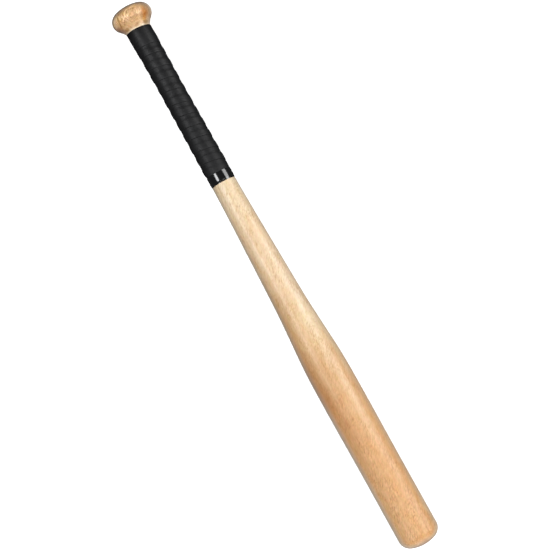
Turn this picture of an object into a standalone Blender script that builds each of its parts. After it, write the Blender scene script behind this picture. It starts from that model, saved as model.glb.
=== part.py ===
"""A turned wooden baseball bat with a wound hand grip, lying on its side.

Three real pieces: the one-piece turned wooden body (knob, handle, taper and
barrel), the grip strip wound round the handle as one long helical strip whose
turns overlap, and the short finishing band stuck round the strip's barrel end.

Units are metres, +Z is up. The bat's axis runs along +X from the knob to the
barrel, level, and the barrel's widest ring touches z = 0. The origin is under
the middle of the length.
"""

import math

import bmesh
import bpy
from mathutils import Vector

MM = 0.001

# ---- driving dimensions of the wooden body, in millimetres -----------------
LENGTH = 635.0            # knob end to barrel end, a 25 inch bat

KNOB_RADIUS = 22.2        # widest ring of the knob
KNOB_REACH = 12.2         # from the knob's end to that ring
KNOB_DOME = 47.0          # radius of the shallow dome on the knob's end
KNOB_FLAT = 4.0           # radius of the flat left where the lathe centre was cut off

BARREL_END_RADIUS = 21.8  # barrel where its end starts to round over
BARREL_REACH = 14.0       # from the barrel's end to that place
BARREL_DOME = 38.0        # radius of the shallow dome on the barrel's end
BARREL_FLAT = 5.0         # radius of the flat in the middle of that dome

# the turned line between those two rounded ends: distance from the knob's end
# and radius there
TURNED_LINE = [
    (KNOB_REACH, KNOB_RADIUS),
    (16.9, 20.97),        # back of the knob starts to fall away
    (19.0, 19.50),
    (21.0, 17.65),
    (24.4, 14.88),
    (27.8, 12.75),        # cove between knob and handle
    (33.0, 12.35),
    (60.0, 11.95),
    (100.0, 11.70),       # thinnest place of the handle
    (150.0, 11.95),
    (185.0, 12.30),
    (200.0, 12.38),
    (206.5, 12.42),       # shallow seat under the strip's end and the band
    (212.2, 13.15),       # bare wood from here to the barrel's end
    (247.0, 13.90),
    (290.0, 15.15),
    (332.0, 16.40),
    (357.0, 17.28),       # start of the steeper part of the taper
    (381.0, 18.72),
    (405.0, 20.40),
    (422.0, 21.45),
    (445.0, 21.98),
    (475.0, 22.12),       # widest ring of the barrel
    (550.0, 21.74),
    (LENGTH - BARREL_REACH, BARREL_END_RADIUS),
]
BARREL_RADIUS = max(r for _, r in TURNED_LINE)

# ---- the grip strip, in millimetres -----------------------------------------
STRIP_WIDTH = 21.0        # a third of it lies on the turn before
STRIP_THICK = 0.45
STRIP_SKIVED = 0.24       # thinned end of the strip under the band
STRIP_PITCH = 14.0        # advance of one turn
STRIP_END_EDGE = 44.35    # barrel-side edge of the last turn, at the strip's end
STRIP_LAST_PITCH = 0.35   # share of the pitch left at the strip's very end
GRIP_START = 27.8         # strip trimmed here, against the knob
GRIP_STOP = 206.5         # strip trimmed here, under the band
SKIVE_FROM, SKIVE_TO = 188.0, 200.6   # the strip thins between these
STEP_RUN = 1.8            # length of the slope where the strip climbs on the turn before
LAP_GAP = 0.12            # between two layers of the strip
FIT_GAP = 0.30            # between the strip or the band and what it lies on

# ---- the finishing band, in millimetres --------------------------------------
BAND_START = 200.6
BAND_STOP = 212.0
BAND_THICK = 0.25

# ---- fineness of the round surfaces ------------------------------------------
BODY_SIDES = 48
STRIP_SIDES = 32          # sections of the strip for each turn
BAND_SIDES = 48


# ---- shapes that follow a rule -------------------------------------------------
def rounded_end(radius, reach, dome, flat, dome_steps, corner_steps):
    """Profile of a rounded end, from its flat out to its widest ring.

    A flat, a shallow dome and a corner arc that is tangent to both the dome and
    the widest ring. Gives (distance from the end, radius) pairs.
    """
    centre = math.sqrt(dome * dome - flat * flat)
    corner = (dome * dome - (centre - reach) ** 2 - radius * radius) / (2 * (dome - radius))
    first = math.asin(flat / dome)
    meet = math.atan2(radius - corner, centre - reach)
    points = []
    for i in range(dome_steps):
        a = first + (meet - first) * i / dome_steps
        points.append((centre - dome * math.cos(a), dome * math.sin(a)))
    for i in range(corner_steps + 1):
        a = meet + (math.pi / 2 - meet) * i / corner_steps
        points.append((reach - corner * math.cos(a), radius - corner + corner * math.sin(a)))
    return points


def smooth_line(points):
    """A smooth curve through (x, y) points that never overshoots them."""
    n = len(points)
    h = [points[i + 1][0] - points[i][0] for i in range(n - 1)]
    d = [(points[i + 1][1] - points[i][1]) / h[i] for i in range(n - 1)]
    m = [0.0] * n
    for i in range(1, n - 1):
        if d[i - 1] * d[i] > 0:
            w1 = 2 * h[i] + h[i - 1]
            w2 = h[i] + 2 * h[i - 1]
            m[i] = (w1 + w2) / (w1 / d[i - 1] + w2 / d[i])

    def value(x):
        i = 0
        while i < n - 2 and x > points[i + 1][0]:
            i += 1
        s = min(max((x - points[i][0]) / h[i], 0.0), 1.0)
        return (
            (1 + 2 * s) * (1 - s) ** 2 * points[i][1]
            + s * (1 - s) ** 2 * h[i] * m[i]
            + s * s * (3 - 2 * s) * points[i + 1][1]
            + s * s * (s - 1) * h[i] * m[i + 1]
        )

    return value


turned_radius = smooth_line(TURNED_LINE)


def body_profile():
    """The turned body's outline, from the middle of one end to the middle of the other."""
    knob = rounded_end(KNOB_RADIUS, KNOB_REACH, KNOB_DOME, KNOB_FLAT, 3, 7)
    barrel = rounded_end(BARREL_END_RADIUS, BARREL_REACH, BARREL_DOME, BARREL_FLAT, 3, 7)
    line = [(0.0, 0.0)] + knob
    for (x0, _), (x1, _) in zip(TURNED_LINE, TURNED_LINE[1:]):
        if x1 <= 34.0:
            spacing = 2.1                # close rings round the back of the knob
        elif x1 <= 200.0:
            spacing = 19.0               # under the grip
        elif x1 <= 430.0:
            spacing = 14.5               # the taper
        else:
            spacing = 38.0               # the nearly straight barrel
        steps = max(1, math.ceil((x1 - x0) / spacing))
        for i in range(1, steps + 1):
            x = x0 + (x1 - x0) * i / steps
            line.append((x, turned_radius(x)))
    line.pop()                           # the barrel's rounded end starts with that ring
    line += [(LENGTH - a, r) for a, r in reversed(barrel)]
    line.append((LENGTH, 0.0))
    return line


def strip_edge(u):
    """Where the strip's barrel-side edge is, u turns before the strip's end at the knob."""
    if u < 1.0:
        k = STRIP_LAST_PITCH
        return STRIP_END_EDGE + STRIP_PITCH * (k * u + (1 - k) * u * u / 2)
    whole = STRIP_END_EDGE + STRIP_PITCH * (1 + STRIP_LAST_PITCH) / 2
    return whole + STRIP_PITCH * (u - 1.0)


def strip_thickness(x):
    """Full thickness along the handle, thinned towards the end that the band covers."""
    s = min(max((x - SKIVE_FROM) / (SKIVE_TO - SKIVE_FROM), 0.0), 1.0)
    return STRIP_THICK + (STRIP_SKIVED - STRIP_THICK) * s


# ---- building blocks -----------------------------------------------------------
def material(name, colour, roughness, metallic=0.0):
    mat = bpy.data.materials.new(name)
    mat.use_nodes = True
    bsdf = mat.node_tree.nodes["Principled BSDF"]
    bsdf.inputs["Base Color"].default_value = (*colour, 1.0)
    bsdf.inputs["Roughness"].default_value = roughness
    bsdf.inputs["Metallic"].default_value = metallic
    return mat


def finish(bm, name, mat, parent, sharp_deg):
    """Turns a bmesh into a named object on the bat's axis."""
    bmesh.ops.recalc_face_normals(bm, faces=bm.faces)
    mesh = bpy.data.meshes.new(name)
    bm.to_mesh(mesh)
    bm.free()
    mesh.materials.append(mat)
    mesh.shade_smooth()
    mesh.set_sharp_from_angle(angle=math.radians(sharp_deg))
    obj = bpy.data.objects.new(name, mesh)
    bpy.context.scene.collection.objects.link(obj)
    obj.parent = parent
    return obj


def turned(bm, profile, sides, closed_loop):
    """Spins a profile of (distance along the axis, radius) pairs, in millimetres, round the axis.

    A flat side, not an edge, faces straight down, so the bat lies on flats.
    """
    start = math.pi / sides
    verts = [
        bm.verts.new((r * MM * math.cos(start), r * MM * math.sin(start), x * MM))
        for x, r in profile
    ]
    pairs = list(zip(verts, verts[1:]))
    if closed_loop:
        pairs.append((verts[-1], verts[0]))
    edges = [bm.edges.new(p) for p in pairs]
    bmesh.ops.spin(
        bm,
        geom=verts + edges,
        cent=(0.0, 0.0, 0.0),
        axis=(0.0, 0.0, 1.0),
        angle=2 * math.pi,
        steps=sides,
        use_duplicate=False,
    )
    bmesh.ops.remove_doubles(bm, verts=bm.verts, dist=0.00001)


# ---- the pieces -----------------------------------------------------------------
def make_body(parent):
    """Knob, handle, taper and barrel, turned from one billet."""
    bm = bmesh.new()
    turned(bm, body_profile(), BODY_SIDES, False)
    wood = material("natural_hardwood", (0.80, 0.56, 0.33), 0.38)
    return finish(bm, "bat_body", wood, parent, 40)


def make_strip(parent):
    """The grip: one strip, wound from the barrel side to the knob.

    Each turn lies with its barrel-side third on the turn before, so it rises by
    the strip's thickness there. The first turn is cut to a long point so that
    the grip's barrel end is square, and the last turns run nearly square to the
    handle against the knob.
    """
    first = 0.0
    while strip_edge(first) - STRIP_WIDTH < GRIP_STOP - 1.2:
        first += 1.0 / STRIP_SIDES
    sections = int(round(first * STRIP_SIDES))

    least = 0.12                                   # keeps the section's corners apart
    bm = bmesh.new()
    loops = []
    for j in range(sections + 1):
        u = (sections - j) / STRIP_SIDES
        angle = -2 * math.pi * u                    # left-hand winding
        edge = strip_edge(u)
        below = strip_edge(u + 1.0) - STRIP_WIDTH   # knob-side edge of the turn before
        low = max(edge - STRIP_WIDTH, GRIP_START)
        high = min(edge, GRIP_STOP)
        top_of_step = below - 0.4
        foot_of_step = top_of_step - STEP_RUN
        a = [low, foot_of_step, top_of_step, high]
        a[1] = min(max(a[1], low + least), high - 2 * least)
        a[2] = min(max(a[2], a[1] + least), high - least)

        def height(x):
            s = (x - foot_of_step) / STEP_RUN
            return (strip_thickness(x) + LAP_GAP) * min(max(s, 0.0), 1.0)

        ring = []
        for x in a:
            ring.append((x, turned_radius(x) + FIT_GAP + height(x)))
        for x in reversed(a):
            ring.append((x, turned_radius(x) + FIT_GAP + height(x) + strip_thickness(x)))
        loops.append(
            [
                bm.verts.new((r * MM * math.cos(angle), r * MM * math.sin(angle), x * MM))
                for x, r in ring
            ]
        )
    for one, two in zip(loops, loops[1:]):
        for i in range(len(one)):
            k = (i + 1) % len(one)
            bm.faces.new((one[i], one[k], two[k], two[i]))
    bm.faces.new(loops[0])
    bm.faces.new(loops[-1])
    bmesh.ops.triangulate(bm, faces=bm.faces[:])
    leather = material("grip_black", (0.030, 0.030, 0.032), 0.62)
    return finish(bm, "grip_strip", leather, parent, 35)


def make_band(parent):
    """The thin glossy band that closes the grip's barrel end."""
    over_strip = turned_radius(GRIP_STOP) + FIT_GAP + 2 * STRIP_SKIVED + LAP_GAP + FIT_GAP
    on_wood = turned_radius(BAND_STOP) + FIT_GAP
    knee = GRIP_STOP + 0.5
    profile = [
        (BAND_START, over_strip),
        (knee, over_strip),
        (BAND_STOP, on_wood),
        (BAND_STOP, on_wood + BAND_THICK),
        (knee, over_strip + BAND_THICK),
        (BAND_START, over_strip + BAND_THICK),
    ]
    bm = bmesh.new()
    turned(bm, profile, BAND_SIDES, True)
    vinyl = material("band_black", (0.012, 0.012, 0.013), 0.16)
    return finish(bm, "finishing_band", vinyl, parent, 30)


def main():
    for obj in list(bpy.data.objects):
        bpy.data.objects.remove(obj, do_unlink=True)

    # the bat's axis: local +Z of this empty points along world +X
    axis = bpy.data.objects.new("bat_axis", None)
    bpy.context.scene.collection.objects.link(axis)
    flat_side = math.cos(math.pi / BODY_SIDES)      # a flat side lies nearer the axis than an edge
    axis.location = Vector((-LENGTH / 2, 0.0, BARREL_RADIUS * flat_side)) * MM
    axis.rotation_euler = (0.0, math.pi / 2, 0.0)

    make_body(axis)
    make_strip(axis)
    make_band(axis)
    bpy.context.view_layer.update()


main()
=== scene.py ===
"""The looks of a turned wooden baseball bat with a wound hand grip.

Three pieces stand for the three solids of the frame: the turned wooden body,
the grip strip wound round the handle with lapped turns, and the glossy
finishing band. Distances below are in millimetres from the knob's end unless a
name says otherwise; the meshes are made in metres in the frame's own axes, +X
from knob to barrel and +Z up.
"""

import math

import bpy
import numpy as np
from mathutils import Matrix, Vector


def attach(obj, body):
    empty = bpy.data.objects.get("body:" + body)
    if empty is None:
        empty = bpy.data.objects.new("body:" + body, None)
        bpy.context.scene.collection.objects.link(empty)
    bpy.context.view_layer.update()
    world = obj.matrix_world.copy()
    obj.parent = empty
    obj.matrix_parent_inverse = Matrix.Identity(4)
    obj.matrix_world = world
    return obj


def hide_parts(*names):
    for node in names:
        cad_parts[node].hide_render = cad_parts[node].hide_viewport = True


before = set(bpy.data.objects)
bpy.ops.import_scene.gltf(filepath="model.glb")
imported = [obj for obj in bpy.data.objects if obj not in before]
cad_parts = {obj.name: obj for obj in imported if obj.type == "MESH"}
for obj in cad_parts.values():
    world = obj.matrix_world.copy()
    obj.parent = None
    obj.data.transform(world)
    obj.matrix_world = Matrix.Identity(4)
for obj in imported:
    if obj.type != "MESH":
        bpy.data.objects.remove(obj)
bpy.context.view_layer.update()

MM = 0.001

# ---- the turned body ---------------------------------------------------------
LENGTH = 635.0
AXIS_Z = 22.152           # the axis above the surface that the bat lies on
KNOB = dict(radius=22.15, reach=12.2, dome=47.0, flat=4.0)
BARREL = dict(radius=21.79, reach=14.0, dome=38.0, flat=5.0)
TURNED_LINE = [
    (12.2, 22.15), (16.9, 20.96), (19.0, 19.49), (21.0, 17.64), (24.4, 14.92),
    (27.8, 13.20), (33.0, 12.93), (60.0, 12.52), (100.0, 12.26), (150.0, 12.48),
    (185.0, 12.80), (200.0, 12.97), (212.2, 13.15), (247.0, 13.90), (290.0, 15.15),
    (332.0, 16.40), (357.0, 17.28), (381.0, 18.72), (405.0, 20.40), (422.0, 21.44),
    (445.0, 21.97), (475.0, 22.08), (550.0, 21.73), (621.0, 21.79),
]

# ---- the grip strip ------------------------------------------------------------
STRIP_WIDTH = 21.0
STRIP_THICK = 0.52
GRIP_STOP = 209.6         # strip trimmed here, under the band
# its barrel-side edge on the top of the handle, half a turn, one and a half
# turns ... before its end at the knob: wound by hand, so not quite even
STRIP_EDGES = [47.7, 58.6, 74.2, 88.1, 102.0, 118.0, 131.9, 145.5, 158.7, 173.1, 187.3]
STRIP_PITCH = 14.0

# ---- the finishing band --------------------------------------------------------
BAND_START, BAND_STOP = 200.6, 211.9
BAND_THICK = 0.13


# ---- shapes that follow a rule ---------------------------------------------------
def rounded_end(radius, reach, dome, flat, steps):
    """A rounded end from its flat out to its widest ring, as (distance, radius) pairs."""
    centre = math.sqrt(dome * dome - flat * flat)
    corner = (dome * dome - (centre - reach) ** 2 - radius * radius) / (2 * (dome - radius))
    first = math.asin(flat / dome)
    meet = math.atan2(radius - corner, centre - reach)
    points = []
    for i in range(steps):
        a = first + (meet - first) * i / steps
        points.append((centre - dome * math.cos(a), dome * math.sin(a)))
    for i in range(2 * steps + 1):
        a = meet + (math.pi / 2 - meet) * i / (2 * steps)
        points.append((reach - corner * math.cos(a), radius - corner + corner * math.sin(a)))
    return points


def smooth_line(points):
    """A smooth curve through (x, y) points that never overshoots them."""
    n = len(points)
    h = [points[i + 1][0] - points[i][0] for i in range(n - 1)]
    d = [(points[i + 1][1] - points[i][1]) / h[i] for i in range(n - 1)]
    m = [0.0] * n
    for i in range(1, n - 1):
        if d[i - 1] * d[i] > 0:
            w1 = 2 * h[i] + h[i - 1]
            w2 = h[i] + 2 * h[i - 1]
            m[i] = (w1 + w2) / (w1 / d[i - 1] + w2 / d[i])

    def value(x):
        i = 0
        while i < n - 2 and x > points[i + 1][0]:
            i += 1
        s = min(max((x - points[i][0]) / h[i], 0.0), 1.0)
        return (
            (1 + 2 * s) * (1 - s) ** 2 * points[i][1]
            + s * (1 - s) ** 2 * h[i] * m[i]
            + s * s * (3 - 2 * s) * points[i + 1][1]
            + s * s * (s - 1) * h[i] * m[i + 1]
        )

    return value


wood_radius = smooth_line(TURNED_LINE)


def smoothstep(a, b, x):
    s = min(max((x - a) / (b - a), 0.0), 1.0)
    return s * s * (3 - 2 * s)


def place(x, r, phi):
    """A point x mm along the bat and r mm from its axis. phi is 0 on top and grows towards +Y."""
    return (
        (x - LENGTH / 2) * MM,
        r * math.sin(phi) * MM,
        (AXIS_Z + r * math.cos(phi)) * MM,
    )


def new_object(name, verts, faces, smooth_angle=60.0):
    mesh = bpy.data.meshes.new(name)
    mesh.from_pydata(verts, [], faces)
    mesh.validate()
    mesh.shade_smooth()
    mesh.set_sharp_from_angle(angle=math.radians(smooth_angle))
    obj = bpy.data.objects.new(name, mesh)
    bpy.context.scene.collection.objects.link(obj)
    return obj


# ---- the pieces -------------------------------------------------------------------
def body_outline():
    knob = rounded_end(**KNOB, steps=14)
    barrel = rounded_end(**BARREL, steps=14)
    line = list(knob)
    x = KNOB["reach"]
    while x < LENGTH - BARREL["reach"] - 1.0:
        x += 0.6 if x < 32 else (3.0 if x < 196 else 2.2)
        if x < LENGTH - BARREL["reach"] - 0.8:
            line.append((x, wood_radius(x)))
    line += [(LENGTH - a, r) for a, r in reversed(barrel)]
    return line


def make_body():
    sides = 160
    outline = body_outline()
    verts, faces = [], []
    for x, r in outline:
        for j in range(sides):
            verts.append(place(x, r, 2 * math.pi * j / sides))
    rings = len(outline)
    for i in range(rings - 1):
        for j in range(sides):
            k = (j + 1) % sides
            faces.append((i * sides + j, i * sides + k, (i + 1) * sides + k, (i + 1) * sides + j))
    # the little flats left where the lathe's centres were cut off, filled with rings
    for end in (0, rings - 1):
        x, r = outline[end]
        base = end * sides
        last = [base + j for j in range(sides)]
        for step in (0.66, 0.33):
            ring = []
            for j in range(sides):
                ring.append(len(verts))
                verts.append(place(x, r * step, 2 * math.pi * j / sides))
            for j in range(sides):
                k = (j + 1) % sides
                quad = (last[j], last[k], ring[k], ring[j])
                faces.append(quad if end else quad[::-1])
            last = ring
        centre = len(verts)
        verts.append(place(x, 0.0, 0.0))
        for j in range(sides):
            k = (j + 1) % sides
            tri = (last[j], last[k], centre)
            faces.append(tri if end else tri[::-1])
    return new_object("wood_body", verts, faces, 50.0)


def edge_line():
    """The strip's barrel-side edge, u turns before its end at the knob."""
    points = [(0.0, 45.2)] + [(i + 0.5, x) for i, x in enumerate(STRIP_EDGES)]
    u, x = points[-1]
    for i in range(1, 5):
        points.append((u + i, x + STRIP_PITCH * i))
    return smooth_line(points)


strip_edge = edge_line()


def strip_back(u):
    """The strip's knob-side edge; the last turns lap deeper and so lie smoother."""
    return strip_edge(u) - STRIP_WIDTH - 8.0 * (1.0 - smoothstep(1.6, 2.6, u))


def grip_start(phi):
    """Where the strip is trimmed at the knob: a cut that isn't quite square."""
    return 27.5 + 1.15 * math.sin(phi) - 0.25 * math.sin(2 * phi)


def make_grip():
    per_turn = 80
    first = 0.0
    while strip_back(first) < GRIP_STOP - 1.0:
        first += 1.0 / per_turn
    sections = int(round(first * per_turn))
    outer_n, inner_n = 30, 12
    lip = 0.20                                       # rounding of the strip's cut edges
    verts, faces, along, across, past = [], [], [], [], []
    loops = []
    for j in range(sections + 1):
        u = (sections - j) / per_turn
        phi = math.pi + 2 * math.pi * u
        edge = strip_edge(u)
        over = strip_edge(u - 1.0) if u >= 1.0 else -50.0   # cut edge of the turn that laps over this one
        below = strip_back(u + 1.0)                   # knob-side edge of the turn before
        start = grip_start(phi)
        tight = 29.5 + 3.5 * place(0.0, 1.0 / MM, phi)[1]
        low = max(strip_back(u), start)
        high = min(edge, GRIP_STOP)
        if high - low < 1.0:
            high = low + 1.0
        width = high - low
        # a slow unevenness of hand winding
        sway = 0.035 * math.sin(2.3 * u + 1.0) + 0.025 * math.sin(5.1 * u + 0.4) + 0.02 * math.sin(13.0 * u)

        def pulled(x, turns):
            """How much of its thickness a turn keeps: the ones under the last are drawn tight and flat at the knob."""
            return 1.0 - 0.7 * (1.0 - smoothstep(tight, tight + 9.0, x)) * smoothstep(0.9, 1.1, turns)

        def base(x):
            """The wood, or the turn before where this one laps over it, under the strip."""
            step = smoothstep(below - 2.2, below + 0.6, x)
            thin = (1.0 - 0.75 * smoothstep(193.0, 201.0, x)) * pulled(x, u + 1.0)
            return wood_radius(x) + STRIP_THICK * step * thin

        thin_at = lambda x: STRIP_THICK * (1.0 - 0.75 * smoothstep(193.0, 201.0, x)) * pulled(x, u)
        ring = []
        # outer side, knob-side edge to barrel-side edge, closer together near the edges
        for i in range(outer_n):
            s = i / (outer_n - 1)
            s = 0.5 - 0.5 * math.cos(math.pi * s) * (0.35 + 0.65 * abs(math.cos(math.pi * s)) ** 0.3)
            x = low + lip + (width - 2 * lip) * s
            t = thin_at(x)
            bow = 0.07 * math.sin(math.pi * s)
            droop = -0.05 * math.exp(-((high - x) / 0.6) ** 2) - 0.06 * math.exp(-((x - low) / 0.9) ** 2)
            ring.append((x, base(x) + t + bow + droop + sway))
        t = thin_at(high)
        b = base(high)
        for a in (0.35, 0.75, 1.15):                  # the rounded barrel-side edge
            ring.append((high - lip + lip * math.sin(a * math.pi / 2.3), b + t * (0.5 + 0.42 * math.cos(a * math.pi / 2.3)) - 0.04 + sway * 0.5))
        for i in range(inner_n):                      # inner side, back to the knob
            s = 1.0 - i / (inner_n - 1)
            x = low + 0.05 + (width - 0.10) * s
            ring.append((x, base(x) + 0.02))
        t = thin_at(low)
        ring.append((low, base(low) + 0.5 * t))
        loop = []
        for x, r in ring:
            loop.append(len(verts))
            verts.append(place(x, r, phi))
            along.append((sections - j) / per_turn * 2 * math.pi * 13.0)
            across.append(edge - x)
            past.append(x - over)
        loops.append(loop)
    n = len(loops[0])
    for one, two in zip(loops, loops[1:]):
        for i in range(n):
            k = (i + 1) % n
            faces.append((one[i], one[k], two[k], two[i]))
    faces.append(tuple(loops[0][::-1]))
    faces.append(tuple(loops[-1]))
    obj = new_object("grip_wrap", verts, faces, 70.0)
    layer = obj.data.attributes.new("strip_pos", "FLOAT_VECTOR", "POINT")
    data = np.zeros((len(verts), 3), np.float32)
    data[:, 0] = np.array(along) * MM
    data[:, 1] = np.array(across) * MM
    data[:, 2] = np.array(past) * MM
    layer.data.foreach_set("vector", data.ravel())
    return obj


def make_band():
    """One and a bit turns of thin glossy tape, its end lapped over its start."""
    sides = 144
    lap = 0.10                                          # of a turn
    steps = int(sides * (1 + lap))
    start_phi = math.radians(205.0)
    xs = [BAND_START + (BAND_STOP - BAND_START) * i / 14 for i in range(15)]

    def seat(x):
        grip = wood_radius(min(x, 201.0)) + 0.60
        wood = wood_radius(x) + 0.02
        return grip + (wood - grip) * smoothstep(208.6, 211.9, x)

    verts, faces, loops = [], [], []
    for j in range(steps + 1):
        u = j / sides
        phi = start_phi + 2 * math.pi * u
        climb = BAND_THICK * 1.15 * smoothstep(1.0 - 0.02, 1.0 + 0.02, u)
        ring = []
        for i, x in enumerate(xs):
            ripple = 0.012 * math.sin(9 * phi + 1.7 * i) + 0.01 * math.sin(4 * phi + 0.6 * i)
            edge = 0.03 if i in (0, len(xs) - 1) else 0.0
            ring.append((x, seat(x) + BAND_THICK + climb + ripple - edge))
        for x in reversed(xs):
            ring.append((x, seat(x) + climb))
        loop = []
        for x, r in ring:
            loop.append(len(verts))
            verts.append(place(x, r, phi))
        loops.append(loop)
    n = len(loops[0])
    for one, two in zip(loops, loops[1:]):
        for i in range(n):
            k = (i + 1) % n
            faces.append((one[i], two[i], two[k], one[k]))
    faces.append(tuple(loops[0]))
    faces.append(tuple(loops[-1][::-1]))
    return new_object("band_tape", verts, faces, 35.0)


# ---- material tools ------------------------------------------------------------------
class Nodes:
    """Short calls for building a material's node tree."""

    def __init__(self, name):
        self.mat = bpy.data.materials.new(name)
        self.mat.use_nodes = True
        self.tree = self.mat.node_tree
        self.bsdf = self.tree.nodes["Principled BSDF"]

    def new(self, kind, **settings):
        node = self.tree.nodes.new(kind)
        for key, value in settings.items():
            setattr(node, key, value)
        return node

    def feed(self, socket, value):
        if isinstance(value, bpy.types.NodeSocket):
            self.tree.links.new(value, socket)
        else:
            socket.default_value = value

    def math(self, operation, a, b=None, c=None, clamp=False):
        node = self.new("ShaderNodeMath", operation=operation, use_clamp=clamp)
        for i, v in enumerate((a, b, c)):
            if v is not None:
                self.feed(node.inputs[i], v)
        return node.outputs[0]

    def vector(self, operation, a, b):
        node = self.new("ShaderNodeVectorMath", operation=operation)
        self.feed(node.inputs[0], a)
        self.feed(node.inputs[1], b)
        return node.outputs[0]

    def spread(self, value, a, b, c=0.0, d=1.0, kind="LINEAR"):
        node = self.new("ShaderNodeMapRange", interpolation_type=kind)
        node.clamp = True
        for i, v in enumerate((value, a, b, c, d)):
            self.feed(node.inputs[i], v)
        return node.outputs[0]

    def noise(self, vector, scale, detail=2.0, rough=0.5, distortion=0.0):
        node = self.new("ShaderNodeTexNoise")
        self.feed(node.inputs["Vector"], vector)
        node.inputs["Scale"].default_value = scale
        node.inputs["Detail"].default_value = detail
        node.inputs["Roughness"].default_value = rough
        node.inputs["Distortion"].default_value = distortion
        return node.outputs[0]

    def mix(self, factor, a, b, blend="MIX"):
        node = self.new("ShaderNodeMix", data_type="RGBA", blend_type=blend)
        node.clamp_factor = True
        self.feed(node.inputs[0], factor)
        self.feed(node.inputs[6], a)
        self.feed(node.inputs[7], b)
        return node.outputs[2]

    def ramp(self, value, stops, kind="LINEAR"):
        node = self.new("ShaderNodeValToRGB")
        node.color_ramp.interpolation = kind
        elements = node.color_ramp.elements
        while len(elements) > 1:
            elements.remove(elements[-1])
        elements[0].position = stops[0][0]
        elements[0].color = stops[0][1]
        for position, colour in stops[1:]:
            elements.new(position).color = colour
        self.feed(node.inputs[0], value)
        return node.outputs[0]

    def bump(self, height, strength, distance, normal=None):
        node = self.new("ShaderNodeBump")
        node.inputs["Strength"].default_value = strength
        node.inputs["Distance"].default_value = distance
        self.feed(node.inputs["Height"], height)
        if normal is not None:
            self.feed(node.inputs["Normal"], normal)
        return node.outputs[0]


def grey(v):
    return (v, v, v, 1.0)


def linear(r, g, b):
    """An sRGB colour, 0 to 255, as a linear one."""
    def f(v):
        v /= 255.0
        return v / 12.92 if v <= 0.04045 else ((v + 0.055) / 1.055) ** 2.4
    return (f(r), f(g), f(b), 1.0)


# ---- materials --------------------------------------------------------------------------
# the wood's colour along the bat, sRGB, and how strong each layer of its figure is
KNOB_COLOUR = (240, 198, 147)
NECK = (234, 209, 175)
HANDLE = (243, 219, 181)
TAPER_1 = (242, 210, 170)
TAPER_2 = (236, 197, 146)
BARREL_1 = (224, 171, 116)
BARREL_2 = (226, 175, 120)
CLOUD, MOTTLE, FLECK, FIBRE, PORE = 1.0, 0.5, 0.80, 0.44, 0.40
# the second of these two sets how strong the painted edge shade is, where the wood is seen at a low angle
LINES, EDGE_SHADE = 0.45, 0.58
SPIRAL = -0.034           # of the fibres, radians per mm of the handle


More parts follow.
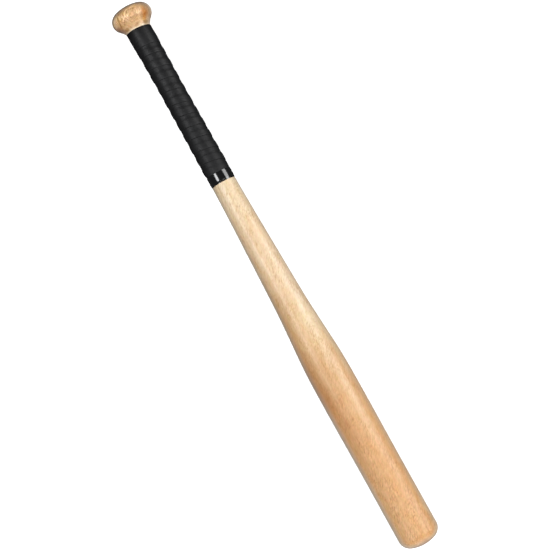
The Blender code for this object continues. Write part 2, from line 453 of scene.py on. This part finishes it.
def wood_material():
    """Pale close-grained hardwood under a clear satin lacquer."""
    n = Nodes("lacquered_hardwood")
    place_ = n.new("ShaderNodeTexCoord").outputs["Object"]
    # millimetres, with x from the knob's end and the axis at y = z = 0
    mm = n.vector("MULTIPLY", place_, (1000.0, 1000.0, 1000.0))
    mm = n.vector("ADD", mm, (LENGTH / 2, 0.0, -AXIS_Z))
    split = n.new("ShaderNodeSeparateXYZ")
    n.feed(split.inputs[0], mm)
    x, y, z = split.outputs

    # slow drift that bends the grain and breaks up every rule below
    slow = n.noise(n.vector("MULTIPLY", mm, (0.012, 0.05, 0.05)), 1.0, 2.0, 0.5)
    drift = n.math("MULTIPLY_ADD", slow, 2.0, -1.0)

    # colour along the bat: warm knob, pale handle, tan barrel
    along = n.math("ADD", x, n.math("MULTIPLY", drift, n.spread(x, 40.0, 220.0, 3.0, 70.0)))
    base = n.ramp(
        n.spread(along, 0.0, 640.0),
        [
            (0.0378, linear(*KNOB_COLOUR)),
            (0.0412, linear(*NECK)),
            (0.360, linear(*HANDLE)),
            (0.500, linear(*TAPER_1)),
            (0.610, linear(*TAPER_2)),
            (0.690, linear(*BARREL_1)),
            (1.000, linear(*BARREL_2)),
        ],
    )
    knob = n.spread(x, 20.0, 27.0, 1.0, 0.0)
    # the figure is stronger on the knob, and a little towards the barrel's end
    lively = n.math("MULTIPLY_ADD", knob, 1.15, n.spread(x, 420.0, 600.0, 1.0, 1.45))

    def tint(noise, much, dark, pale, strength=None, low=0.26, middle=0.50, high=0.74):
        """Multiplies the wood by one tint where a noise is high and another where it is low."""
        much = n.math("MULTIPLY", strength or lively, much)
        up = n.math("MULTIPLY", n.spread(noise, middle, high), much)
        down = n.math("MULTIPLY", n.spread(noise, middle, low), much)
        return n.mix(down, n.mix(up, base, (*dark, 1.0), "MULTIPLY"), (*pale, 1.0), "MULTIPLY")

    # browner along the -Y side of the barrel: partly the heartwood's own colour, partly painted shade darkening that
    # side
    side = n.math("ADD", n.math("MULTIPLY", y, -1.0), n.math("MULTIPLY", drift, 14.0))
    side = n.math("ADD", side, n.spread(x, 400.0, 440.0, 0.0, 4.0))
    heart_and_shade = n.math("MULTIPLY", n.spread(side, -1.0, 18.0), n.spread(along, 262.0, 340.0))
    heart_and_shade = n.math("MULTIPLY", heart_and_shade, n.spread(along, 590.0, 460.0))
    base = n.mix(n.math("MULTIPLY", heart_and_shade, 0.82), base, (0.84, 0.73, 0.64, 1.0), "MULTIPLY")
    # painted highlight along the other side: paler and bluer towards +Y over the taper, standing for the key light's
    # broad sheen
    sheen_side_mask = n.math("ADD", y, n.math("MULTIPLY", drift, 10.0))
    sheen_side_mask = n.math("ADD", sheen_side_mask, n.spread(x, 360.0, 420.0, 0.0, 4.0))
    sheen_side_mask = n.math("MULTIPLY", n.spread(sheen_side_mask, -4.0, 9.0), n.spread(x, 270.0, 380.0))
    sheen_side_mask = n.math("MULTIPLY", sheen_side_mask, n.spread(along, 540.0, 460.0))
    sheen_side_mask = n.math("MULTIPLY", sheen_side_mask, n.spread(y, 9.0, 15.0, 1.0, 0.55))
    base = n.mix(sheen_side_mask, base, (1.05, 1.21, 1.46, 1.0), "MULTIPLY")
    # the browner side, wood colour and painted shade as above, begins as a yellower flush along the taper, and is
    # brownest where the barrel does
    flush_shade_sheen = n.math("MULTIPLY", n.spread(along, 285.0, 320.0), n.spread(along, 390.0, 362.0))
    base = n.mix(n.math("MULTIPLY", flush_shade_sheen, n.spread(side, 0.0, 11.0)), base, (0.90, 0.86, 0.77, 1.0), "MULTIPLY")
    flush_shade_sheen = n.math("MULTIPLY", n.spread(x, 406.0, 424.0), n.spread(x, 480.0, 456.0))
    base = n.mix(n.math("MULTIPLY", flush_shade_sheen, n.spread(side, -6.0, 2.0)), base, (0.93, 0.89, 0.86, 1.0), "MULTIPLY")
    # painted highlight: paler and bluer over the top towards +Y where the barrel begins, the key light's sheen
    flush_shade_sheen = n.math("MULTIPLY", flush_shade_sheen, n.spread(y, 14.0, 11.0))
    base = n.mix(n.math("MULTIPLY", flush_shade_sheen, n.spread(y, 2.0, 8.0)), base, (1.03, 1.09, 1.14, 1.0), "MULTIPLY")

    # growth rings: shells round a pith line well outside the bat, a little tilted to it
    py = n.math("ADD", y, n.math("MULTIPLY_ADD", x, 0.018, 46.0))
    pz = n.math("ADD", z, n.math("MULTIPLY_ADD", x, -0.010, 62.0))
    far = n.math("SQRT", n.math("ADD", n.math("MULTIPLY", py, py), n.math("MULTIPLY", pz, pz)))
    far = n.math("ADD", far, n.math("MULTIPLY", drift, 3.2))
    waver = n.noise(n.vector("MULTIPLY", mm, (0.03, 0.25, 0.25)), 1.0, 2.0, 0.55)
    far = n.math("ADD", far, n.math("MULTIPLY", waver, 1.6))
    year = n.math("FRACT", n.math("MULTIPLY", far, 1.0 / 2.9))
    ring = n.ramp(
        year,
        [(0.0, grey(0.30)), (0.10, grey(0.0)), (0.55, grey(0.06)), (0.86, grey(0.45)), (0.96, grey(1.0)), (1.0, grey(0.30))],
        "EASE",
    )
    base = n.mix(n.math("MULTIPLY", ring, n.math("MULTIPLY_ADD", knob, 0.35, 0.28)), base, (0.74, 0.62, 0.50, 1.0), "MULTIPLY")
    # thin dark lines where the turned surface cuts the grain at a slant: arcs on the
    # knob, and short strokes in scattered groups along the rest
    ragged = n.math("ADD", n.math("MULTIPLY", waver, 5.0), n.math("MULTIPLY", drift, 4.0))
    groups = n.noise(n.vector("MULTIPLY", mm, (0.06, 0.14, 0.14)), 1.0, 2.0, 0.5)

    # on the knob the growth layers lie almost flat, so the turned surface shows them as
    # ovals round its highest place, closer together down its sides
    layer = n.math("ADD", n.math("MULTIPLY", x, 0.07), n.math("MULTIPLY_ADD", y, 0.05, z))
    bend = n.noise(n.vector("MULTIPLY", mm, (0.10, 0.13, 0.13)), 1.0, 2.0, 0.55)
    layer = n.math("MULTIPLY_ADD", bend, 3.4, layer)
    layer = n.math("FRACT", n.math("MULTIPLY", layer, 1.0 / 1.15))
    layer = n.ramp(layer, [(0.0, grey(0.35)), (0.10, grey(0.0)), (0.45, grey(0.10)), (0.80, grey(1.0)), (0.92, grey(1.0)), (1.0, grey(0.35))])
    on_knob = n.math("MULTIPLY", n.spread(y, 6.0, -6.0, 0.35, 1.0), n.spread(groups, 0.36, 0.60, 0.25, 1.0))
    arcs = n.math("MULTIPLY", layer, n.math("MULTIPLY", knob, on_knob))
    slant = n.math("ADD", n.math("MULTIPLY", x, 0.48), n.math("MULTIPLY_ADD", y, 0.72, n.math("MULTIPLY", z, 0.30)))
    slant = n.math("FRACT", n.math("MULTIPLY", n.math("ADD", slant, ragged), 1.0 / 1.9))
    slant = n.ramp(slant, [(0.0, grey(0.20)), (0.10, grey(0.0)), (0.55, grey(0.0)), (0.82, grey(1.0)), (1.0, grey(0.20))])
    slant = n.math("MULTIPLY", slant, n.math("MULTIPLY", n.spread(groups, 0.56, 0.66), LINES))
    base = n.mix(n.math("MAXIMUM", arcs, n.math("MULTIPLY", slant, n.spread(x, 24.0, 40.0))), base, (0.60, 0.44, 0.30, 1.0), "MULTIPLY")

    # the fibres run round the bat in a long spiral, so every streak lies at a slant to it
    spiral = n.new("ShaderNodeVectorRotate", rotation_type="X_AXIS")
    n.feed(spiral.inputs["Vector"], mm)
    turn = n.math("MULTIPLY", n.math("MINIMUM", x, 370.0), SPIRAL)
    turn = n.math("ADD", turn, n.math("MULTIPLY", n.math("MAXIMUM", n.math("SUBTRACT", x, 370.0), 0.0), 0.62 * SPIRAL))
    n.feed(spiral.inputs["Angle"], turn)
    fibrous = spiral.outputs["Vector"]

    # cloudy pinkish and yellowish places
    cloud = n.noise(n.vector("MULTIPLY", mm, (0.09, 0.20, 0.20)), 1.0, 3.0, 0.6)
    base = tint(cloud, CLOUD, (0.99, 0.935, 0.84), (1.01, 1.04, 1.11))
    blush = n.noise(n.vector("MULTIPLY", mm, (0.10, 0.22, 0.22)), 1.7, 2.0, 0.5)
    base = tint(blush, CLOUD, (1.03, 0.975, 1.01), (0.98, 1.02, 0.93))
    # the mottle and short flecks of a close-grained hardwood, longer than they are wide
    mottle = n.noise(n.vector("MULTIPLY", fibrous, (0.18, 0.50, 0.50)), 1.0, 2.0, 0.55)
    base = tint(mottle, MOTTLE, (0.84, 0.76, 0.66), (1.08, 1.13, 1.20))
    fleck = n.noise(n.vector("MULTIPLY", fibrous, (0.34, 1.40, 1.40)), 1.0, 1.6, 0.5)
    # the flecks come in places, with calmer wood between them
    places = n.noise(n.vector("MULTIPLY", mm, (0.045, 0.10, 0.10)), 1.0, 2.0, 0.5)
    calm = n.math("ADD", n.spread(x, 245.0, 275.0, 0.96, 1.12), n.spread(x, 385.0, 425.0, 0.0, -0.27))
    calm = n.math("ADD", calm, n.spread(x, 520.0, 600.0, 0.0, 0.70))
    patchy = n.math("MULTIPLY", n.math("MULTIPLY_ADD", knob, 0.45, calm), n.spread(places, 0.38, 0.64, 0.22, 1.62))
    base = tint(fleck, FLECK, (0.76, 0.66, 0.54), (1.12, 1.18, 1.26), patchy)
    # fine lengthwise fibres and open pores
    fibre = n.noise(n.vector("MULTIPLY", fibrous, (0.08, 2.2, 2.2)), 1.0, 1.5, 0.5, 0.2)
    base = tint(fibre, FIBRE, (0.86, 0.79, 0.70), (1.05, 1.08, 1.12), patchy)
    pore = n.noise(n.vector("MULTIPLY", fibrous, (0.45, 4.0, 4.0)), 1.0, 1.0, 0.5)
    pore = n.spread(pore, 0.62, 0.74)
    base = n.mix(n.math("MULTIPLY", pore, n.math("MULTIPLY", lively, PORE)), base, (0.55, 0.45, 0.35, 1.0), "MULTIPLY")

    def patch(centre, size, much, colour, lean=0.0):
        """A patch of figure with a ragged outline, centre and half sizes in mm; lean is its slope to the axis."""
        away = n.vector("SUBTRACT", mm, centre)
        if lean:
            parts = n.new("ShaderNodeSeparateXYZ")
            n.feed(parts.inputs[0], away)
            join = n.new("ShaderNodeCombineXYZ")
            n.feed(join.inputs[0], parts.outputs[0])
            n.feed(join.inputs[1], n.math("MULTIPLY_ADD", parts.outputs[0], -lean, parts.outputs[1]))
            n.feed(join.inputs[2], parts.outputs[2])
            away = join.outputs[0]
        away = n.vector("MULTIPLY", away, tuple(1.0 / v for v in size))
        length = n.new("ShaderNodeVectorMath", operation="LENGTH")
        n.feed(length.inputs[0], away)
        ragged = n.math("ADD", length.outputs["Value"], n.math("MULTIPLY_ADD", mottle, 1.4, -0.7))
        ragged = n.math("ADD", ragged, n.math("MULTIPLY_ADD", fleck, 1.2, -0.6))
        inside = n.spread(ragged, 1.25, 0.40, kind="SMOOTHSTEP")
        return n.mix(n.math("MULTIPLY", inside, much), base, colour, "MULTIPLY")

    # browner places, from the knob's end to its neck
    base = patch((16.6, 14.4, 15.6), (5.2, 3.8, 8.0), 0.95, (0.84, 0.57, 0.26, 1.0))
    base = patch((20.8, 12.2, 13.2), (4.6, 2.6, 8.0), 0.95, (0.84, 0.63, 0.34, 1.0), -0.75)
    base = patch((18.6, 10.2, 16.4), (3.4, 2.0, 8.0), 0.85, (0.74, 0.61, 0.46, 1.0), -0.4)
    base = patch((17.3, 2.2, 20.3), (1.8, 5.0, 8.0), 0.8, (0.78, 0.71, 0.64, 1.0), 0.1)
    base = patch((17.3, -8.8, 18.6), (2.2, 3.4, 8.0), 0.8, (0.78, 0.71, 0.62, 1.0))
    base = patch((24.8, 1.1, 14.6), (1.8, 2.6, 7.0), 0.95, (0.72, 0.63, 0.54, 1.0))
    base = patch((14.5, -13.9, 14.8), (8.8, 1.0, 8.0), 0.95, (0.54, 0.39, 0.26, 1.0), -0.10)
    base = patch((7.6, -10.9, 17.9), (1.5, 1.6, 8.0), 0.9, (0.70, 0.56, 0.44, 1.0))
    base = patch((14.1, -10.7, 18.4), (2.4, 0.8, 8.0), 0.9, (0.68, 0.56, 0.44, 1.0), -0.3)
    base = patch((24.9, -11.8, 9.0), (1.3, 4.2, 7.0), 0.85, (0.74, 0.66, 0.56, 1.0))
    base = patch((24.0, -5.4, 13.7), (1.2, 2.2, 6.0), 0.85, (0.76, 0.68, 0.58, 1.0))
    base = patch((16.8, -8.6, 18.3), (3.4, 0.8, 8.0), 0.9, (0.62, 0.48, 0.36, 1.0), -0.85)
    base = patch((19.9, -18.2, 8.0), (3.6, 2.6, 8.0), 0.95, (0.50, 0.33, 0.20, 1.0))
    base = patch((20.6, -15.8, 10.0), (2.4, 1.6, 8.0), 0.8, (0.84, 0.60, 0.42, 1.0))
    base = patch((23.0, -14.8, 6.8), (2.6, 3.0, 7.0), 0.95, (0.48, 0.34, 0.20, 1.0))
    base = patch((25.2, 10.6, 9.8), (2.2, 3.4, 7.0), 0.95, (0.56, 0.46, 0.35, 1.0))
    base = patch((23.9, -10.3, 11.0), (1.9, 3.2, 6.0), 0.9, (0.66, 0.54, 0.40, 1.0))
    base = patch((6.4, -8.2, 18.8), (1.5, 3.2, 8.0), 0.8, (0.76, 0.69, 0.62, 1.0))
    base = patch((9.4, 5.3, 21.1), (0.9, 0.7, 4.0), 0.9, (0.56, 0.45, 0.34, 1.0))
    base = patch((23.5, 3.8, 14.9), (1.3, 3.4, 6.0), 0.85, (0.78, 0.69, 0.60, 1.0))
    base = patch((17.0, 5.9, 20.1), (1.5, 1.5, 6.0), 0.85, (0.80, 0.70, 0.60, 1.0))
    base = patch((11.4, 16.2, 14.8), (4.6, 1.6, 8.0), 0.85, (0.84, 0.74, 0.64, 1.0))
    # and paler ones; the first of them and the one at 8.6 mm, high on the knob towards -Y, are partly painted highlight
    base = patch((11.9, -5.0, 21.2), (2.9, 3.2, 7.0), 0.95, (1.34, 1.50, 1.56, 1.0))
    base = patch((13.4, -8.4, 19.8), (2.6, 1.8, 7.0), 0.9, (1.18, 1.26, 1.30, 1.0), -0.3)
    base = patch((14.6, 9.2, 19.4), (2.4, 2.6, 7.0), 0.9, (1.14, 1.19, 1.20, 1.0))
    base = patch((9.4, -17.2, 13.4), (4.2, 1.9, 8.0), 0.9, (1.20, 1.32, 1.48, 1.0))
    base = patch((24.4, 6.1, 13.6), (2.2, 2.8, 7.0), 0.9, (1.16, 1.28, 1.44, 1.0))
    base = patch((12.0, -11.8, 17.8), (4.0, 1.2, 8.0), 0.9, (1.20, 1.28, 1.30, 1.0), -0.1)
    base = patch((7.0, 3.0, 20.0), (1.6, 6.5, 8.0), 0.95, (1.28, 1.32, 1.34, 1.0))
    base = patch((17.0, -9.4, 18.4), (2.2, 1.4, 7.0), 0.9, (1.26, 1.32, 1.34, 1.0), -0.4)
    base = patch((22.6, 9.9, 12.8), (1.6, 1.6, 6.0), 0.9, (1.22, 1.34, 1.42, 1.0))
    base = patch((8.6, -3.0, 21.0), (1.7, 2.4, 8.0), 0.95, (1.28, 1.33, 1.34, 1.0))
    base = patch((26.2, -3.8, 12.6), (1.4, 2.2, 6.0), 0.9, (1.14, 1.20, 1.24, 1.0))
    base = patch((8.6, -15.0, 15.4), (2.2, 1.3, 8.0), 0.9, (1.20, 1.28, 1.34, 1.0))
    base = patch((7.0, 8.4, 19.0), (1.8, 2.4, 8.0), 0.9, (1.22, 1.26, 1.28, 1.0))
    # a painted highlight: a pale band on the neck right at the strip's cut, over its top
    painted_light_mask = n.math("MULTIPLY", n.spread(x, 25.7, 26.7), n.spread(x, 31.0, 29.5))
    painted_light_mask = n.math("MULTIPLY", painted_light_mask, n.math("MULTIPLY", n.spread(y, 9.0, 6.0), n.spread(y, -13.5, -11.0)))
    base = n.mix(painted_light_mask, base, (1.17, 1.22, 1.26, 1.0), "MULTIPLY")
    # a painted highlight on the knob's -Y side
    lit = n.math("MULTIPLY", n.math("MULTIPLY", knob, n.spread(x, 19.0, 14.0)), n.math("MULTIPLY", n.spread(y, -3.0, -13.0), n.spread(x, 3.5, 8.0)))
    base = n.mix(lit, base, (1.22, 1.26, 1.26, 1.0), "MULTIPLY")

    # end grain drinks more lacquer and goes darker
    normal = n.new("ShaderNodeNewGeometry").outputs["Normal"]
    split_n = n.new("ShaderNodeSeparateXYZ")
    n.feed(split_n.inputs[0], normal)
    endwise = n.math("POWER", n.math("ABSOLUTE", split_n.outputs[0]), 3.0)
    base = n.mix(n.math("MULTIPLY", endwise, 0.6), base, (0.90, 0.84, 0.76, 1.0), "MULTIPLY")

    # painted shade and reflection: the wood mixed towards a dull grey-brown where it is seen at a low angle, more so
    # towards -Y along the bat and towards +Y on the knob
    facing = n.new("ShaderNodeLayerWeight")
    facing.inputs["Blend"].default_value = 0.5
    lop = n.math("MULTIPLY", split_n.outputs[1], n.math("MULTIPLY_ADD", knob, 0.62, -0.32))
    painted_light_mask = n.math("MULTIPLY", n.spread(facing.outputs["Facing"], 0.32, 0.82, 0.0, EDGE_SHADE), n.math("ADD", lop, 1.0))
    base = n.mix(painted_light_mask, base, (0.60, 0.525, 0.45, 1.0))
    # painted sheen: the barrel's half paler and bluer where it is seen at a low angle, most of all at its end
    painted_sheen = n.math("MULTIPLY", n.spread(facing.outputs["Facing"], 0.18, 0.50), n.spread(x, 455.0, 485.0))
    painted_sheen = n.math("MULTIPLY", painted_sheen, n.spread(split_n.outputs[1], 0.1, -0.4))
    base = n.mix(painted_sheen, base, (1.12, 1.22, 1.33, 1.0), "MULTIPLY")
    painted_sheen = n.math("MULTIPLY", n.spread(facing.outputs["Facing"], 0.38, 0.58), n.spread(x, 555.0, 590.0, 0.35, 1.0))
    painted_sheen = n.math("MULTIPLY", n.math("MULTIPLY", painted_sheen, n.spread(x, 455.0, 485.0)), n.spread(split_n.outputs[1], 0.1, 0.4))
    base = n.mix(painted_sheen, base, (1.04, 1.18, 1.30, 1.0), "MULTIPLY")
    # painted shade: the knob darker where it is seen at a low angle, more so towards +Y, and darkest at its outline
    # except far round to +Y
    knob_edge_shade = n.math("MULTIPLY", knob, n.math("MULTIPLY", n.spread(facing.outputs["Facing"], 0.24, 0.58), n.spread(split_n.outputs[1], -0.9, 0.7)))
    base = n.mix(knob_edge_shade, base, (0.74, 0.70, 0.66, 1.0), "MULTIPLY")
    edge = n.math("MULTIPLY", knob, n.spread(facing.outputs["Facing"], 0.56, 0.78))
    edge = n.math("MULTIPLY", edge, n.spread(split_n.outputs[1], 0.4, 0.85, 1.0, 0.0))
    base = n.mix(edge, base, (0.48, 0.45, 0.41, 1.0), "MULTIPLY")
    # painted shade and highlight, set by the angle the knob is seen at: on its +Y side a browner band of painted shade
    # and a painted highlight at its rim, on its -Y side a painted highlight just inside the rim
    turned = facing.outputs["Facing"]
    plus = n.math("MULTIPLY", knob, n.spread(split_n.outputs[1], 0.35, 0.60))
    brown = n.math("MULTIPLY", plus, n.math("MULTIPLY", n.spread(turned, 0.24, 0.42), n.spread(turned, 0.66, 0.55)))
    brown = n.math("MULTIPLY", brown, n.math("MULTIPLY", n.spread(x, 9.5, 12.5), n.spread(x, 18.5, 15.5)))
    base = n.mix(brown, base, (0.86, 0.80, 0.75, 1.0), "MULTIPLY")
    rim_highlight = n.math("MULTIPLY", plus, n.spread(turned, 0.54, 0.70))
    rim_highlight = n.math("MULTIPLY", rim_highlight, n.math("MULTIPLY", n.spread(x, 5.5, 8.5), n.spread(x, 21.0, 18.0)))
    base = n.mix(rim_highlight, base, (1.50, 1.62, 1.72, 1.0), "MULTIPLY")
    pale = n.math("MULTIPLY", n.spread(turned, 0.28, 0.40), n.spread(turned, 0.62, 0.52))
    pale = n.math("MULTIPLY", n.math("MULTIPLY", pale, knob), n.spread(split_n.outputs[1], -0.3, -0.6))
    pale = n.math("MULTIPLY", pale, n.spread(x, 19.5, 16.5))
    base = n.mix(pale, base, (1.07, 1.15, 1.26, 1.0), "MULTIPLY")

    n.feed(n.bsdf.inputs["Base Color"], base)
    rough = n.math("MULTIPLY_ADD", n.spread(fibre, 0.30, 0.72), 0.10, 0.38)
    n.feed(n.bsdf.inputs["Roughness"], rough)
    n.bsdf.inputs["IOR"].default_value = 1.5
    n.bsdf.inputs["Coat Weight"].default_value = 0.30
    n.bsdf.inputs["Coat Roughness"].default_value = 0.26
    height = n.math("SUBTRACT", n.math("MULTIPLY", fibre, 0.5), n.math("MULTIPLY", pore, 0.6))
    height = n.math("ADD", height, n.math("MULTIPLY", fleck, 0.5))
    n.feed(n.bsdf.inputs["Normal"], n.bump(height, 0.30, 0.00009))
    return n.mat


def grip_material():
    """Matte black soft-touch strip with a fine grain, drawn into small pleats by the winding."""
    n = Nodes("soft_black_wrap")
    place_ = n.new("ShaderNodeTexCoord").outputs["Object"]
    mm = n.vector("MULTIPLY", place_, (1000.0, 1000.0, 1000.0))
    strip = n.new("ShaderNodeAttribute", attribute_type="GEOMETRY", attribute_name="strip_pos").outputs["Vector"]
    strip = n.vector("MULTIPLY", strip, (1000.0, 1000.0, 1000.0))
    split = n.new("ShaderNodeSeparateXYZ")
    n.feed(split.inputs[0], strip)
    run, inward, past = split.outputs     # along the strip, in from its cut edge, past the turn that laps it

    grain = n.noise(mm, 2.2, 3.0, 0.65)
    pleat = n.noise(n.vector("MULTIPLY", strip, (0.09, 0.62, 0.0)), 1.0, 3.0, 0.6, 0.3)
    cloud = n.noise(mm, 0.16, 3.0, 0.6)
    tone = n.math("ADD", n.math("MULTIPLY", cloud, 0.45), n.math("MULTIPLY", pleat, 0.55))
    colour = n.ramp(
        tone,
        [(0.30, (0.0034, 0.0034, 0.0038, 1)), (0.50, (0.0064, 0.0064, 0.0071, 1)), (0.70, (0.0116, 0.0116, 0.0127, 1))],
    )
    # the cut edge a lighter grey, partly worn and partly a painted highlight where it catches the light; painted shade
    # in a dark crease just past it
    lip = n.math("MULTIPLY", n.spread(inward, 0.9, 0.1), n.spread(cloud, 0.35, 0.62))
    colour = n.mix(n.math("MULTIPLY", lip, 0.55), colour, (0.034, 0.034, 0.036, 1))
    crease_shade = n.spread(past, 1.0, 0.1)
    colour = n.mix(n.math("MULTIPLY", crease_shade, 0.85), colour, (0.0012, 0.0012, 0.0013, 1))
    lengthwise = n.new("ShaderNodeSeparateXYZ")
    n.feed(lengthwise.inputs[0], mm)
    # painted shade: darkest where it meets the knob
    corner = n.spread(lengthwise.outputs[0], -LENGTH / 2 + 34.0, -LENGTH / 2 + 28.5)
    colour = n.mix(n.math("MULTIPLY", corner, 0.7), colour, (0.0015, 0.0015, 0.0015, 1))
    n.feed(n.bsdf.inputs["Base Color"], colour)
    rubbed = n.spread(lengthwise.outputs[0], -LENGTH / 2 + 60.0, -LENGTH / 2 + 200.0, 0.43, 0.49)
    rough = n.math("MULTIPLY_ADD", n.spread(tone, 0.32, 0.68), 0.14, rubbed)
    n.feed(n.bsdf.inputs["Roughness"], n.math("ADD", rough, n.math("MULTIPLY", crease_shade, 0.35)))
    n.bsdf.inputs["IOR"].default_value = 1.42
    # its soft nap shines less at a low angle than a hard surface would
    facing = n.new("ShaderNodeLayerWeight")
    facing.inputs["Blend"].default_value = 0.5
    nap = n.spread(facing.outputs["Facing"], 0.45, 0.85, 0.5, 0.16)
    normal = n.new("ShaderNodeNewGeometry").outputs["Normal"]
    split_n = n.new("ShaderNodeSeparateXYZ")
    n.feed(split_n.inputs[0], normal)
    dull = n.math("MULTIPLY", n.spread(facing.outputs["Facing"], 0.42, 0.70), n.spread(split_n.outputs[1], -0.1, -0.6, 0.0, 0.16))
    nap = n.math("SUBTRACT", nap, dull)
    n.feed(n.bsdf.inputs["Specular IOR Level"], n.math("MAXIMUM", n.math("MULTIPLY_ADD", corner, -0.12, nap), 0.0))
    first = n.bump(pleat, 0.55, 0.0005)
    n.feed(n.bsdf.inputs["Normal"], n.bump(grain, 0.50, 0.00010, first))
    return n.mat


def band_material():
    """Glossy black film."""
    n = Nodes("gloss_black_film")
    place_ = n.new("ShaderNodeTexCoord").outputs["Object"]
    mm = n.vector("MULTIPLY", place_, (1000.0, 1000.0, 1000.0))
    rub = n.noise(mm, 0.8, 4.0, 0.6)
    colour = n.ramp(rub, [(0.3, (0.0028, 0.0028, 0.0030, 1)), (0.7, (0.0052, 0.0052, 0.0056, 1))])
    n.feed(n.bsdf.inputs["Base Color"], colour)
    n.feed(n.bsdf.inputs["Roughness"], n.math("MULTIPLY_ADD", rub, 0.10, 0.07))
    n.bsdf.inputs["IOR"].default_value = 1.85
    wave = n.noise(mm, 0.35, 2.0, 0.5)
    n.feed(n.bsdf.inputs["Normal"], n.bump(wave, 0.35, 0.0002))
    return n.mat


# ---- stage, light and camera ----------------------------------------------------------------
def make_stage():
    size = 6.0
    mesh = bpy.data.meshes.new("floor")
    mesh.from_pydata(
        [(-size, -size, 0), (size, -size, 0), (size, size, 0), (-size, size, 0)], [], [(0, 1, 2, 3)]
    )
    floor = bpy.data.objects.new("floor", mesh)
    bpy.context.scene.collection.objects.link(floor)
    n = Nodes("pale_floor")
    n.bsdf.inputs["Base Color"].default_value = (0.90, 0.90, 0.90, 1)
    n.bsdf.inputs["Roughness"].default_value = 0.9
    n.bsdf.inputs["Specular IOR Level"].default_value = 0.0
    n.bsdf.inputs["Emission Color"].default_value = (1, 1, 1, 1)
    far = n.new("ShaderNodeVectorMath", operation="LENGTH")
    n.feed(far.inputs[0], n.new("ShaderNodeTexCoord").outputs["Object"])
    n.feed(n.bsdf.inputs["Emission Strength"], n.spread(far.outputs["Value"], 0.6, 2.0, FLOOR_GLOW, 1.0))
    mesh.materials.append(n.mat)
    # white paper bounces no light back onto the bat here, as on a lit glass table
    floor.visible_diffuse = False
    floor.visible_glossy = False
    floor.visible_shadow = False        # the table's own light comes up through it
    return floor


def panel(name, middle, back, side, along, across, radiance, colour=(1, 1, 1)):
    """A softbox round middle that shines against back; along is measured in the direction of side."""
    data = bpy.data.lights.new(name, "AREA")
    data.shape = "RECTANGLE"
    data.size, data.size_y = along, across
    data.energy = radiance * math.pi * along * across
    data.color = colour
    obj = bpy.data.objects.new(name, data)
    obj.visible_camera = False
    bpy.context.scene.collection.objects.link(obj)
    obj.matrix_world = Matrix.Translation(middle) @ Matrix((side, back.cross(side), back)).transposed().to_4x4()
    return obj


def softbox(name, x0, x1, degrees_from_up, wide, radiance, colour=(1, 1, 1)):
    """A softbox from x0 to x1 along the bat, facing it from that many degrees off straight up.

    wide is how many degrees of the circle round the bat it fills; towards +Y is positive.
    """
    distance = 1.3
    a = math.radians(degrees_from_up)
    back = Vector((0.0, math.sin(a), math.cos(a)))
    middle = Vector(((x0 + x1) / 2, 0.0, AXIS_Z * MM)) + distance * back
    across = 2 * distance * math.tan(math.radians(wide / 2))
    return panel(name, middle, back, Vector((1, 0, 0)), x1 - x0, across, radiance, colour)


def make_world():
    """A white backdrop for the camera, and a dim even room for everything else."""
    world = bpy.data.worlds.new("studio")
    world.use_nodes = True
    tree = world.node_tree
    tree.nodes.clear()
    out = tree.nodes.new("ShaderNodeOutputWorld")
    room = tree.nodes.new("ShaderNodeBackground")
    room.inputs["Color"].default_value = (ROOM, ROOM, ROOM, 1)
    paper = tree.nodes.new("ShaderNodeBackground")
    paper.inputs["Color"].default_value = (1, 1, 1, 1)
    path = tree.nodes.new("ShaderNodeLightPath")
    pick = tree.nodes.new("ShaderNodeMixShader")
    tree.links.new(path.outputs["Is Camera Ray"], pick.inputs[0])
    tree.links.new(room.outputs[0], pick.inputs[1])
    tree.links.new(paper.outputs[0], pick.inputs[2])
    tree.links.new(pick.outputs[0], out.inputs[0])
    bpy.context.scene.world = world


def make_camera():
    data = bpy.data.cameras.new("camera")
    data.lens, data.sensor_width, data.sensor_fit = 115.06, 36.0, "HORIZONTAL"
    data.clip_start, data.clip_end = 0.05, 50.0
    cam = bpy.data.objects.new("camera", data)
    bpy.context.scene.collection.objects.link(cam)
    tilt, distance = math.radians(5.0), 1.8124
    look = Vector((0.0039, 0.0001, 0.02219))
    back = Vector((math.sin(tilt), 0, math.cos(tilt)))
    bat = Vector((math.cos(tilt), 0, -math.sin(tilt)))
    side = Vector((0, 1, 0))
    right = (0.48560 * bat + 0.87418 * side).normalized()
    up = back.cross(right)
    cam.matrix_world = Matrix.Translation(look + distance * back) @ Matrix((right, up, back)).transposed().to_4x4()
    bpy.context.scene.camera = cam


FLOOR_GLOW = 0.60
ROOM = 0.08

make_camera()
make_stage()
make_world()
# two long softboxes beside the handle, and a broad dim set round the barrel's half
softbox("key_right", -0.78, 0.20, 56.0, 28.0, 3.95)
softbox("key_right_near_barrel", -0.02, 0.22, 54.0, 20.0, 1.7)
softbox("fill_left", -0.82, -0.05, -32.0, 18.0, 8.0, (0.97, 0.98, 1.0))
softbox("far_right", 0.20, 1.00, 56.0, 50.0, 2.45)
softbox("far_top", 0.18, 1.00, 2.0, 50.0, 1.6)
softbox("far_left", 0.22, 1.00, -56.0, 62.0, 0.4)
softbox("end_left", 0.46, 1.00, -50.0, 40.0, 2.8)
softbox("table", -0.45, 0.45, 180.0, 24.0, 4.0)
panel("end", Vector((0.77, 0.0, 0.03)), Vector((1, 0, 0)), Vector((0, 1, 0)), 0.36, 0.36, 2.6)

view = bpy.context.scene.view_settings
view.view_transform = "Standard"
view.look = "None"
view.exposure = 0.0
view.gamma = 1.0

body = make_body()
body.data.materials.append(wood_material())
grip = make_grip()
grip.data.materials.append(grip_material())
band = make_band()
band.data.materials.append(band_material())

for piece, node, slot in ((body, "bat_body", "wood"), (grip, "grip_strip", "grip"), (band, "finishing_band", "band")):
    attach(piece, "root")
    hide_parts(node)
